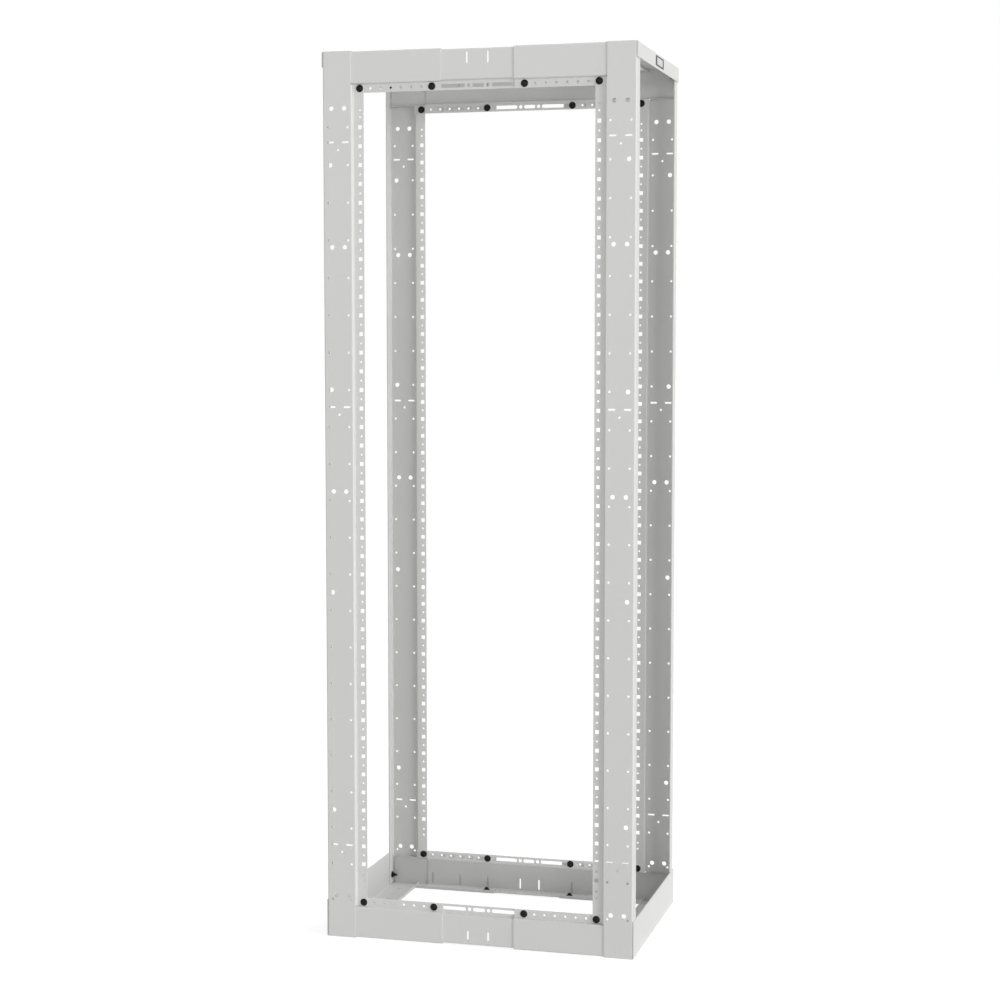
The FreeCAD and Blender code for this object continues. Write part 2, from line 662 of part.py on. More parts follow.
class SideBeam:
    """A left side beam: an upright panel outside the posts, with a shelf that ends in a lip.

    The origin is on the left rails' hole line, at the floor or at the top of the posts, in the
    middle of the depth. A bottom beam is drawn upwards from there, and a top one downwards.
    """

    def __init__(self, document, sizes, label, is_top):
        s = sizes
        self.sizes = sizes
        self.is_top = is_top
        self.panel_height = s["BeamTopHeight"] if is_top else s["BeamFloorHeight"]
        self.half_depth = s["RailDepthSpan"] * 0.5 + s["WebStep"]
        self.piece = FoldedPiece(document, label)

    def level(self, height):
        """Return a height measured from the beam's own end of the posts."""
        return -height if self.is_top else height

    def make_profile(self):
        """Extrude the section over the rack's depth and round its folds."""
        s = self.sizes
        sheet = s["SheetThickness"]
        zero = Size.of(0)
        panel_back = -s["PostSide"]
        edge = -s["BeamShelfEdge"]
        panel_end = self.level(self.panel_height)
        lip_end = self.level(s["BeamLipHeight"])
        shelf_back = self.level(sheet)
        corners = {
            "panel_end": (panel_back - sheet, panel_end),
            "heel": (panel_back - sheet, zero),
            "shelf_edge": (edge, zero),
            "lip_end": (edge, lip_end),
            "lip_end_back": (edge - sheet, lip_end),
            "lip_root": (edge - sheet, shelf_back),
            "heel_back": (panel_back, shelf_back),
            "panel_end_back": (panel_back, panel_end),
        }
        section = self.piece.outline("XZ_Plane", "section", -self.half_depth)
        section.polygon(list(corners.values()))
        pad = self.piece.extrude(section, self.half_depth * 2, "profile")
        outside = [corners["heel"], corners["shelf_edge"]]
        inside = [corners["heel_back"], corners["lip_root"]]
        outer_radius = s["BendInside"] + sheet
        rounded = self.piece.round_folds(pad, outside, outer_radius, "outer_folds", 1)
        self.piece.round_folds(rounded, inside, s["BendInside"], "inner_folds", 1)

    def trim_shelf(self):
        """Cut the shelf back at both ends, behind the faces of the posts and crossbars."""
        s = self.sizes
        sheet = s["SheetThickness"]
        keep = self.half_depth - sheet * 2
        beyond = self.half_depth + sheet
        inner = sheet - s["BeamShelfEdge"]
        ends = self.piece.outline("XY_Plane", "shelf_ends")
        for end in (-1, 1):
            ends.rectangle((inner, keep * end), (-s["PostSide"], beyond * end))
        self.piece.cut(ends, "shelf_ends")

    def cut_holes(self):
        """Cut the shelf's slots and small holes, and the bolt holes of the panel."""
        s = self.sizes
        slot_line = -s["WebHoleLine"]
        round_line = -(s["BeamShelfEdge"] + s["BeamRoundLine"])
        bolt_height = self.level(s["BeamBoltHeight"])
        shelf = self.piece.outline("XY_Plane", "shelf_holes")
        panel = self.piece.outline("YZ_Plane", "panel_bolts")
        for end in (-1, 1):
            for number in range(BEAM_SLOT_COUNT):
                along = (s["BeamSlotFirst"] + s["BeamSlotPitch"] * number) * end
                shelf.slot((slot_line, along), s["SlotHalf"], s["SlotRadius"])
            for spread in BEAM_ROUND_SPREADS:
                shelf.circle((round_line, Size.of(spread * end)), s["RailRoundRadius"])
            along = (self.half_depth - s["BeamBoltDepth"]) * end
            panel.circle((along, bolt_height), s["BoltHoleRadius"])
        self.piece.cut(shelf, "shelf_holes")
        self.piece.cut(panel, "panel_bolts")

    def build(self):
        """Build the side beam and return its body."""
        self.make_profile()
        self.trim_shelf()
        self.cut_holes()
        height = rack_height(self.sizes) if self.is_top else Size.of(0)
        return self.piece.place((self.sizes["HoleLineSpan"] * -0.5, Size.of(0), height))


class Mirrors:
    """Makes the other half of the rack from the drawn pieces."""

    def __init__(self, document, sizes):
        self.document = document
        self.half_height = rack_height(sizes) * 0.5

    def add(self, source, label, normal):
        """Mirror a piece across the rack's middle plane with this normal."""
        mirror = self.document.addObject("Part::Mirroring", label)
        mirror.Label = label
        mirror.Source = source
        mirror.Normal = normal
        if normal.z:
            mirror.Base = FreeCAD.Vector(0, 0, self.half_height.value)
            mirror.setExpression(".Base.z", self.half_height.text)
        return mirror

    def to_right(self, source, label):
        """Mirror a left piece to the right."""
        return self.add(source, label, FreeCAD.Vector(1, 0, 0))

    def to_left(self, source, label):
        """Mirror a right piece to the left."""
        return self.add(source, label, FreeCAD.Vector(1, 0, 0))

    def to_rear(self, source, label):
        """Mirror a front piece to the rear."""
        return self.add(source, label, FreeCAD.Vector(0, 1, 0))

    def to_top(self, source, label):
        """Mirror a bottom piece to the top."""
        return self.add(source, label, FreeCAD.Vector(0, 0, 1))


def build_posts(document, sizes, mirrors):
    """Build the four posts."""
    left = Post(document, sizes, "front_left_post").build()
    right = mirrors.to_right(left, "front_right_post")
    rear_left = mirrors.to_rear(left, "rear_left_post")
    rear_right = mirrors.to_rear(right, "rear_right_post")
    return [left, right, rear_left, rear_right]


def build_crossbars(document, sizes, mirrors):
    """Build the three pieces of each of the four crossbars."""
    right = Sleeve(document, sizes, "front_bottom_right_sleeve").build()
    left = mirrors.to_left(right, "front_bottom_left_sleeve")
    middle = MiddleBar(document, sizes, "front_bottom_middle_bar").build()
    bottom = {"right_sleeve": right, "left_sleeve": left, "middle_bar": middle}
    pieces = list(bottom.values())
    for name, front in bottom.items():
        front_top = mirrors.to_top(front, f"front_top_{name}")
        rear_bottom = mirrors.to_rear(front, f"rear_bottom_{name}")
        rear_top = mirrors.to_rear(front_top, f"rear_top_{name}")
        pieces += [front_top, rear_bottom, rear_top]
    return pieces


def build_side_beams(document, sizes, mirrors):
    """Build the four side beams."""
    pieces = []
    for level, is_top in (("bottom", False), ("top", True)):
        left = SideBeam(document, sizes, f"left_{level}_side_beam", is_top).build()
        pieces += [left, mirrors.to_right(left, f"right_{level}_side_beam")]
    return pieces


def check_document(document, pieces):
    """Stop if any object failed to compute or any piece is not one valid solid."""
    for item in document.Objects:
        if "Invalid" in item.State or "Error" in item.State:
            raise RuntimeError(f"{item.Name} failed: {item.State}")
    for piece in pieces:
        shape = piece.Shape
        if shape.isNull() or not shape.isValid() or len(shape.Solids) != 1:
            raise RuntimeError(f"{piece.Label} is not one valid solid")


def export_pieces(pieces):
    """Write each piece to its own STEP file."""
    os.makedirs("parts", exist_ok=True)
    for piece in pieces:
        piece.Shape.exportStep(f"parts/{piece.Label}.step")


def main():
    """Build, check and export the rack."""
    document = FreeCAD.newDocument(DOCUMENT_NAME)
    sizes = make_sheet(document)
    mirrors = Mirrors(document, sizes)
    pieces = build_posts(document, sizes, mirrors)
    pieces += build_crossbars(document, sizes, mirrors)
    pieces += build_side_beams(document, sizes, mirrors)
    document.recompute()
    check_document(document, pieces)
    export_pieces(pieces)
    for piece in pieces:
        box = piece.Shape.BoundBox
        print(f"{piece.Label}: {box.XLength:.1f} x {box.YLength:.1f} x {box.ZLength:.1f} mm")


main()
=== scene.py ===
"""Dresses the four post open frame rack and stands it in a plain pale studio.

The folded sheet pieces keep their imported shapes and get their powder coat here.
Bolts, nuts, painted stud heads and a blank plate are added to them, true to scale.
"""

from __future__ import annotations

import json
import logging
import math
import sys
from collections.abc import Sequence
from dataclasses import dataclass
from enum import Enum

import bmesh
import bpy
from mathutils import Matrix, Vector


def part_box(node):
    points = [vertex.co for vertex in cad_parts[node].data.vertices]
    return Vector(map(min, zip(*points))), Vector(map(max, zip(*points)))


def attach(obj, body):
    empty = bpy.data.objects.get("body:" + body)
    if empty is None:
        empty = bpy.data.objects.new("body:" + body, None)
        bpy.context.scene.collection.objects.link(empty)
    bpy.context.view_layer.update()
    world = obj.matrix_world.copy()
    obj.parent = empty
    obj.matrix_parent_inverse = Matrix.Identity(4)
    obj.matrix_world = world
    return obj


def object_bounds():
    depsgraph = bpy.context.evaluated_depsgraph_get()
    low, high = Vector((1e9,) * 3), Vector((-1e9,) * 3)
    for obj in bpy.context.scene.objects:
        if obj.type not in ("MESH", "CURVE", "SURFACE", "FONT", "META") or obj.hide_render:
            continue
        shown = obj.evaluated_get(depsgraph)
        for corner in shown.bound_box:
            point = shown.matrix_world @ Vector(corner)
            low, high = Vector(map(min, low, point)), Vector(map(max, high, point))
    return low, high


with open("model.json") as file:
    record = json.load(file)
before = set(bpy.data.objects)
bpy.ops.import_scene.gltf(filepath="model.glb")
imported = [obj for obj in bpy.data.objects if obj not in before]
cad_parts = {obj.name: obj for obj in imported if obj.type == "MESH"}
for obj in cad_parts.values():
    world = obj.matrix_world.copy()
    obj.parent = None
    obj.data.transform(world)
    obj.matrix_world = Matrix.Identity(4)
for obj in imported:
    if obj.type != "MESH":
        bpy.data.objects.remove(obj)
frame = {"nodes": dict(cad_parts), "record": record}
CAD_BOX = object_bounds()

BODY = "root"
MM = 0.001
SAME_POINT = 1e-7
HARD_EDGE_DEGREES = 32.0
SHEETS_JOINED = 2

log = logging.getLogger("rack")


class End(Enum):
    """The two ends of the rack's depth."""

    FRONT = -1
    REAR = 1


class Level(Enum):
    """The two levels at which the posts are tied together."""

    BOTTOM = -1
    TOP = 1


class Side(Enum):
    """The two sides of the rack."""

    LEFT = -1
    RIGHT = 1


# ---------------------------------------------------------------- shader maths


class Signal:
    """A shader value that takes part in plain arithmetic."""

    def __init__(self, graph: Graph, socket: bpy.types.NodeSocket) -> None:
        """Wraps one output socket of a graph."""
        self.graph = graph
        self.socket = socket

    def _maths(self, operation: str, first: Value, second: Value) -> Signal:
        """Joins two values in a Math node.

        Args:
            operation: the Math node's operation.
            first: its first value.
            second: its second value.

        Returns:
            The result as a signal.
        """
        node = self.graph.node(
            "ShaderNodeMath", {"operation": operation}, {0: first, 1: second}
        )
        return Signal(self.graph, node.outputs[0])

    def __add__(self, other: Value) -> Signal:
        """Sum."""
        return self._maths("ADD", self, other)

    def __radd__(self, other: Value) -> Signal:
        """Sum, with this value second."""
        return self._maths("ADD", other, self)

    def __mul__(self, other: Value) -> Signal:
        """Product."""
        return self._maths("MULTIPLY", self, other)

    def __rmul__(self, other: Value) -> Signal:
        """Product, with this value second."""
        return self._maths("MULTIPLY", other, self)

    def at_most(self, other: Value) -> Signal:
        """The smaller of the two values."""
        return self._maths("MINIMUM", self, other)

    def spread(self, low: float, high: float) -> Signal:
        """Takes a value that runs from 0 to 1 to the range from low to high.

        Args:
            low: the result at 0.
            high: the result at 1.

        Returns:
            The value in its new range.
        """
        return low + (high - low) * self

    def stepped(self, start: float, stop: float) -> Signal:
        """Turns a value into a mask with a soft edge.

        Args:
            start: the value at which the mask is 0.
            stop: the value at which the mask is 1.

        Returns:
            The mask, held between 0 and 1.
        """
        node = self.graph.node(
            "ShaderNodeMapRange",
            {"clamp": True, "interpolation_type": "SMOOTHSTEP"},
            {"Value": self, "From Min": start, "From Max": stop},
        )
        return Signal(self.graph, node.outputs["Result"])


Value = Signal | float
Colour = tuple[float, float, float]


class Graph:
    """A node tree, filled through one method that makes any node."""

    def __init__(self, tree: bpy.types.NodeTree) -> None:
        """Takes over a tree and clears it."""
        self.tree = tree
        tree.nodes.clear()

    def node(
        self,
        kind: str,
        settings: dict[str, object] | None = None,
        inputs: dict[str | int, object] | None = None,
    ) -> bpy.types.Node:
        """Makes a node, first its settings and then its sockets.

        Args:
            kind: the node's type.
            settings: values of the node's own properties.
            inputs: a value, a signal or an output socket for each input.

        Returns:
            The new node.
        """
        made = self.tree.nodes.new(kind)
        for name, value in (settings or {}).items():
            setattr(made, name, value)
        for key, value in (inputs or {}).items():
            socket = made.inputs[key]
            if isinstance(value, Signal):
                self.tree.links.new(value.socket, socket)
            elif isinstance(value, bpy.types.NodeSocket):
                self.tree.links.new(value, socket)
            else:
                socket.default_value = value
        return made

    def place(self, stretch: Sequence[float] = (1.0, 1.0, 1.0)) -> bpy.types.NodeSocket:
        """Gives the object's own coordinates in metres.

        Args:
            stretch: the scale along each axis.

        Returns:
            The vector output.
        """
        source = self.node("ShaderNodeTexCoord").outputs["Object"]
        mapping = self.node(
            "ShaderNodeMapping", None, {"Vector": source, "Scale": tuple(stretch)}
        )
        return mapping.outputs["Vector"]

    def noise(
        self,
        size: float,
        detail: float = 1.0,
        stretch: Sequence[float] = (1.0, 1.0, 1.0),
    ) -> Signal:
        """Makes a cloudy pattern.

        Args:
            size: how wide one lump is, in metres.
            detail: how many finer layers lie on it.
            stretch: the scale along each axis.

        Returns:
            The pattern, from 0 to 1.
        """
        node = self.node(
            "ShaderNodeTexNoise",
            {"noise_dimensions": "3D"},
            {
                "Vector": self.place(stretch),
                "Scale": 1.0 / size,
                "Detail": detail,
                "Roughness": 0.5,
            },
        )
        return Signal(self, node.outputs["Fac"])

    def blend(self, mask: Value, first: Colour, second: Colour) -> Signal:
        """Mixes two colours.

        Args:
            mask: 0 for the first colour and 1 for the second.
            first: the first colour.
            second: the second colour.

        Returns:
            The mixed colour.
        """
        node = self.node(
            "ShaderNodeMix",
            {"data_type": "RGBA"},
            {"Factor": mask, 6: (*first, 1.0), 7: (*second, 1.0)},
        )
        return Signal(self, node.outputs[2])

    def bump(
        self, height: Signal, depth: float, under: bpy.types.NodeSocket | None = None
    ) -> bpy.types.NodeSocket:
        """Raises a surface by a pattern.

        Args:
            height: the pattern, from 0 to 1.
            depth: how far it stands out at 1, in metres.
            under: the normal of a bump that lies under this one.

        Returns:
            The normal output.
        """
        inputs = {"Height": height, "Distance": depth, "Strength": 1.0}
        if under is not None:
            inputs["Normal"] = under
        return self.node("ShaderNodeBump", None, inputs).outputs["Normal"]

    def split_rays(
        self, lit: bpy.types.NodeSocket, seen: bpy.types.NodeSocket
    ) -> bpy.types.NodeSocket:
        """Lights the scene with one shader and shows another.

        Args:
            lit: the shader for rays that carry light from piece to piece.
            seen: the one for rays from the camera, a reflection or a clear piece.

        Returns:
            The mixed shader.
        """
        rays = self.node("ShaderNodeLightPath").outputs
        camera, glossy, clear = (
            Signal(self, rays[name])
            for name in ("Is Camera Ray", "Is Glossy Ray", "Is Transmission Ray")
        )
        direct = (camera + glossy + clear).at_most(1.0)
        mixed = self.node(
            "ShaderNodeMixShader", None, {"Fac": direct, 1: lit, 2: seen}
        )
        return mixed.outputs["Shader"]

    def finish(self, shader: bpy.types.NodeSocket) -> None:
        """Links a shader to the tree's material output."""
        self.node("ShaderNodeOutputMaterial", None, {"Surface": shader})

    def finish_principled(self, inputs: dict[str, object]) -> None:
        """Makes a Principled shader and links it to the material output."""
        shader = self.node("ShaderNodeBsdfPrincipled", None, inputs)
        self.finish(shader.outputs["BSDF"])


def new_graph(name: str) -> tuple[bpy.types.Material, Graph]:
    """Makes an empty material.

    Args:
        name: the material's name.

    Returns:
        The material and its graph.
    """
    material = bpy.data.materials.new(name)
    material.use_nodes = True
    return material, Graph(material.node_tree)


# -------------------------------------------------------------------- finishes


@dataclass(frozen=True)
class PowderCoat:
    """White satin powder coat, with the fine orange peel that baking leaves."""

    name: str
    colour: Colour = (0.640, 0.642, 0.628)
    shade: Colour = (0.628, 0.630, 0.616)
    gloss: tuple[float, float] = (0.46, 0.60)
    cloud: float = 0.35
    cloud_share: float = 0.75
    shade_edge: tuple[float, float] = (0.3, 0.7)
    peel: float = 2.2 * MM
    peel_depth: float = 0.035 * MM
    grain: float = 0.45 * MM
    grain_depth: float = 0.008 * MM

    def material(self) -> bpy.types.Material:
        """Builds the paint.

        Returns:
            The material.
        """
        made, graph = new_graph(self.name)
        cloud = graph.noise(self.cloud, 3.0)
        peel = graph.noise(self.peel, 1.0)
        grain = graph.noise(self.grain, 2.0)
        under = graph.bump(grain, self.grain_depth)
        tint = self.cloud_share * cloud + (1.0 - self.cloud_share) * peel
        mask = tint.stepped(*self.shade_edge)
        graph.finish_principled(
            {
                "Base Color": graph.blend(mask, self.colour, self.shade),
                "Roughness": (0.5 * cloud + 0.5 * grain).spread(*self.gloss),
                "Metallic": 0.0,
                "IOR": 1.5,
                "Normal": graph.bump(peel, self.peel_depth, under),
            }
        )
        return made


@dataclass(frozen=True)
class BlackOxide:
    """The oiled black of hardened fasteners, rubbed a little where a tool sits."""

    name: str
    colour: Colour = (0.0055, 0.0055, 0.006)
    rubbed: Colour = (0.016, 0.016, 0.017)
    rubbed_edge: tuple[float, float] = (0.48, 0.72)
    gloss: tuple[float, float] = (0.30, 0.44)
    shine: float = 0.15
    cloud: float = 3.0 * MM
    grit: float = 0.25 * MM
    grit_depth: float = 0.010 * MM

    def material(self) -> bpy.types.Material:
        """Builds the black.

        Returns:
            The material.
        """
        made, graph = new_graph(self.name)
        cloud = graph.noise(self.cloud, 2.0)
        grit = graph.noise(self.grit, 2.0)
        mask = cloud.stepped(*self.rubbed_edge)
        graph.finish_principled(
            {
                "Base Color": graph.blend(mask, self.colour, self.rubbed),
                "Roughness": cloud.spread(*self.gloss),
                "Metallic": 0.0,
                "IOR": 1.5,
                "Specular IOR Level": self.shine,
                "Normal": graph.bump(grit, self.grit_depth),
            }
        )
        return made


@dataclass(frozen=True)
class BrushedPlate:
    """The face of a small plate, brushed along its length."""

    name: str
    colour: Colour = (0.62, 0.62, 0.62)
    streak: Colour = (0.54, 0.54, 0.545)
    streak_edge: tuple[float, float] = (0.35, 0.7)
    gloss: tuple[float, float] = (0.30, 0.46)
    metal: float = 0.35
    brush: float = 0.35 * MM
    brush_length: float = 24.0
    brush_depth: float = 0.006 * MM

    def material(self) -> bpy.types.Material:
        """Builds the plate's face.

        Returns:
            The material.
        """
        made, graph = new_graph(self.name)
        brush = graph.noise(self.brush, 2.0, (1.0, 1.0 / self.brush_length, 1.0))
        mask = brush.stepped(*self.streak_edge)
        graph.finish_principled(
            {
                "Base Color": graph.blend(mask, self.colour, self.streak),
                "Roughness": brush.spread(*self.gloss),
                "Metallic": self.metal,
                "Normal": graph.bump(brush, self.brush_depth),
            }
        )
        return made


@dataclass(frozen=True)
class StudioWhite:
    """A white floor that meets the white background and still takes a shadow."""

    name: str
    albedo: float = 0.80
    glow: float = 0.86
    seen_albedo: float = 0.24

    def material(self) -> bpy.types.Material:
        """Builds the floor's white.

        Returns:
            The material.
        """
        made, graph = new_graph(self.name)
        lit, shadowed = (
            graph.node("ShaderNodeBsdfDiffuse", None, {"Color": (*(grey,) * 3, 1.0)})
            for grey in (self.albedo, self.seen_albedo)
        )
        glow = graph.node("ShaderNodeEmission", None, {"Strength": self.glow})
        seen = graph.node(
            "ShaderNodeAddShader",
            None,
            {0: shadowed.outputs["BSDF"], 1: glow.outputs["Emission"]},
        )
        graph.finish(graph.split_rays(lit.outputs["BSDF"], seen.outputs["Shader"]))
        return made


# ---------------------------------------------------------------- mesh helpers


def turned(
    mesh: bmesh.types.BMesh, profile: Sequence[Sequence[float]], steps: int
) -> None:
    """Spins a half profile about Z into a closed solid.

    Args:
        mesh: the mesh that gets the solid.
        profile: radius and height of each point, from axis to axis.
        steps: how many facets go round.
    """
    points = [mesh.verts.new((radius, 0.0, height)) for radius, height in profile]
    edges = [mesh.edges.new(pair) for pair in zip(points, points[1:])]
    bmesh.ops.spin(
        mesh,
        geom=[*points, *edges],
        cent=(0.0, 0.0, 0.0),
        axis=(0.0, 0.0, 1.0),
        dvec=(0.0, 0.0, 0.0),
        angle=math.tau,
        steps=steps,
        use_merge=True,
        use_duplicate=False,
    )
    bmesh.ops.remove_doubles(mesh, verts=mesh.verts[:], dist=SAME_POINT)


def prism(
    mesh: bmesh.types.BMesh, corners: int, radius: float, low: float, high: float
) -> bmesh.types.BMFace:
    """Adds an upright prism.

    Args:
        mesh: the mesh that gets the prism.
        corners: how many corners it has.
        radius: from its axis to a corner.
        low: height of its foot.
        high: height of its top.

    Returns:
        The top face.
    """
    before = len(mesh.faces)
    bmesh.ops.create_circle(
        mesh,
        cap_ends=True,
        segments=corners,
        radius=radius,
        matrix=Matrix.Translation((0.0, 0.0, low)),
    )
    mesh.faces.ensure_lookup_table()
    raised = bmesh.ops.extrude_face_region(mesh, geom=[mesh.faces[before]])["geom"]
    bmesh.ops.translate(
        mesh,
        vec=(0.0, 0.0, high - low),
        verts=[part for part in raised if isinstance(part, bmesh.types.BMVert)],
    )
    return next(part for part in raised if isinstance(part, bmesh.types.BMFace))


def chamfer(
    mesh: bmesh.types.BMesh, edges: Sequence[bmesh.types.BMEdge], offset: float
) -> None:
    """Rounds edges.

    Args:
        mesh: the mesh with the edges.
        edges: the edges to round.
        offset: how far the rounding reaches.
    """
    bmesh.ops.bevel(
        mesh,
        geom=list(edges),
        offset=offset,
        offset_type="OFFSET",
        segments=2,
        profile=0.5,
        affect="EDGES",
        material=-1,
        clamp_overlap=True,
    )


def finished(mesh: bmesh.types.BMesh, name: str) -> bpy.types.Mesh:
    """Turns a bmesh into a mesh with outward faces and soft shading.

    Args:
        mesh: the shape, which is freed.
        name: the new mesh's name.

    Returns:
        The mesh.
    """
    bmesh.ops.recalc_face_normals(mesh, faces=mesh.faces[:])
    for face in mesh.faces:
        face.smooth = True
    data = bpy.data.meshes.new(name)
    mesh.to_mesh(data)
    mesh.free()
    data.set_sharp_from_angle(angle=math.radians(HARD_EDGE_DEGREES))
    return data


def add_piece(
    name: str,
    data: bpy.types.Mesh,
    finishes: Sequence[bpy.types.Material],
) -> None:
    """Puts a mesh in the scene as a piece that rides on the rack.

    Args:
        name: the piece's name.
        data: its mesh, already in place.
        finishes: its materials in order.
    """
    piece = bpy.data.objects.new(name, data)
    bpy.context.scene.collection.objects.link(piece)
    for material in finishes:
        data.materials.append(material)
    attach(piece, BODY)
    log.info("%s: %d faces", name, len(data.polygons))


def seat(place: Sequence[float], facing: Sequence[float], turn: float = 0.0) -> Matrix:
    """Stands a shape that was built along Z on a face.

    Args:
        place: the point of the face under the shape's axis.
        facing: the way the face looks.
        turn: how far the shape turns about its own axis, in radians.

    Returns:
        The transform.
    """
    stand = Vector(facing).to_track_quat("Z", "Y").to_matrix().to_4x4()
    return Matrix.Translation(place) @ stand @ Matrix.Rotation(turn, 4, "Z")


def gathered(
    shapes: Sequence[tuple[bpy.types.Mesh, Matrix]], name: str
) -> bpy.types.Mesh:
    """Copies finished shapes to their places in one mesh.

    Args:
        shapes: each shape's mesh and transform.
        name: the new mesh's name.

    Returns:
        The mesh that holds them all.
    """
    mesh = bmesh.new()
    for data, place in shapes:
        before = len(mesh.verts)
        mesh.from_mesh(data)
        mesh.verts.ensure_lookup_table()
        bmesh.ops.transform(mesh, matrix=place, verts=mesh.verts[before:])
    return finished(mesh, name)


# ------------------------------------------------------------------- fasteners


@dataclass(frozen=True)
class DomedHead:
    """A smooth, low, round bolt head."""

    radius: float = 8.8 * MM
    rim: float = 0.7 * MM
    edge: float = 0.2 * MM
    height: float = 4.4 * MM
    rings: int = 9
    facets: int = 56

    def mesh(self) -> bpy.types.Mesh:
        """Builds the head along Z, with its seat at the origin.

        Returns:
            The head's mesh.
        """
        rise = self.height - self.rim
        ball = (self.radius**2 + rise**2) / (2.0 * rise)
        reach = math.asin(self.radius / ball)
        profile = [(0.0, 0.0), (self.radius - self.edge, 0.0), (self.radius, self.edge)]
        for ring in range(self.rings + 1):
            angle = reach * (1.0 - ring / self.rings)
            profile.append(
                (ball * math.sin(angle), self.height - ball * (1.0 - math.cos(angle)))
            )
        shape = bmesh.new()
        turned(shape, profile, self.facets)
        return finished(shape, "domed_head")


@dataclass(frozen=True)
class FlangedNut:
    """A six sided nut on a round flange, with the bolt's end standing out of it."""

    flange_radius: float = 8.8 * MM
    flange_side: float = 0.9 * MM
    flange_edge: float = 0.3 * MM
    flange_rise: float = 2.4 * MM
    neck_share: float = 0.64
    across_flats: float = 10.0 * MM
    height: float = 6.5 * MM
    top_round: float = 0.6 * MM
    facets: int = 48
    thread_radius: float = 3.0 * MM
    thread_depth: float = 0.45 * MM
    thread_pitch: float = 1.0 * MM
    thread_crest: tuple[float, float] = (0.45, 0.60)
    thread_sunk: float = 2.0 * MM
    thread_facets: int = 24
    plain_end: float = 0.8 * MM
    end_chamfer: float = 0.5 * MM
    stands_out: float = 2.5 * MM

    def add_thread(self, shape: bmesh.types.BMesh) -> None:
        """Adds the bolt's ridged end.

        Args:
            shape: the mesh that gets it.
        """
        root = self.thread_radius - self.thread_depth
        start = self.height - self.thread_sunk
        stop = self.height + self.stands_out
        ridges = int((stop - start - self.plain_end) / self.thread_pitch)
        profile = [(0.0, start), (root, start)]
        for ridge in range(ridges):
            foot = start + ridge * self.thread_pitch
            profile += [
                (self.thread_radius, foot + share * self.thread_pitch)
                for share in self.thread_crest
            ]
            profile.append((root, foot + self.thread_pitch))
        profile += [
            (root, stop - self.end_chamfer),
            (root - self.end_chamfer, stop),
            (0.0, stop),
        ]
        turned(shape, profile, self.thread_facets)

    def mesh(self) -> bpy.types.Mesh:
        """Builds the nut along Z, with its seat at the origin.

        Returns:
            The nut's mesh.
        """
        shape = bmesh.new()
        inner = self.flange_radius - self.flange_edge
        turned(
            shape,
            (
                (0.0, 0.0),
                (inner, 0.0),
                (self.flange_radius, self.flange_edge),
                (self.flange_radius, self.flange_side),
                (inner, self.flange_side + self.flange_edge),
                (self.neck_share * self.flange_radius, self.flange_rise),
                (0.0, self.flange_rise),
            ),
            self.facets,
        )
        corner = self.across_flats / math.sqrt(3.0)
        top = prism(shape, 6, corner, self.flange_side, self.height)
        chamfer(shape, top.edges[:], self.top_round)
        self.add_thread(shape)
        return finished(shape, "flanged_nut")


@dataclass(frozen=True)
class FlushHead:
    """A thin round head that lies almost flush with the sheet.

    The outline gives the shares of its radius and its rise, from axis to axis.
    """

    radius: float
    rise: float
    facets: int = 40
    outline: tuple[tuple[float, float], ...] = (
        (0.0, 0.0),
        (1.0, 0.0),
        (1.0, 0.25),
        (0.93, 0.7),
        (0.75, 1.0),
        (0.0, 1.0),
    )

    def mesh(self) -> bpy.types.Mesh:
        """Builds the head along Z, with its seat at the origin.

        Returns:
            The head's mesh.
        """
        shape = bmesh.new()
        profile = [(out * self.radius, up * self.rise) for out, up in self.outline]
        turned(shape, profile, self.facets)
        return finished(shape, "flush_head")


@dataclass(frozen=True)
class RackDatum:
    """The faces and lines that the fasteners are set from, read off the frame."""

    hole_line: float
    rail_face: float
    sheet: float
    height: float
    sleeve_end: float
    bar_edge: float
    shelf_face: float
    beam_face: float

    @classmethod
    def read(cls) -> RackDatum:
        """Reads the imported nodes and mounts.

        Returns:
            The datum.
        """
        square = next(
            mount
            for mount in frame["record"]["mounts"]
            if mount["name"] == "rail_square_right"
        )
        sleeve_low, sleeve_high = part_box("front_bottom_right_sleeve")
        bar_low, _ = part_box("front_bottom_middle_bar")
        _, beam_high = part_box("right_bottom_side_beam")
        return cls(
            hole_line=square["pos_m"][0],
            rail_face=-square["pos_m"][1],
            sheet=bar_low.y - sleeve_low.y,
            height=CAD_BOX[1].z - CAD_BOX[0].z,
            sleeve_end=sleeve_low.x,
            bar_edge=sleeve_high.z,
            shelf_face=sleeve_low.z,
            beam_face=beam_high.x,
        )


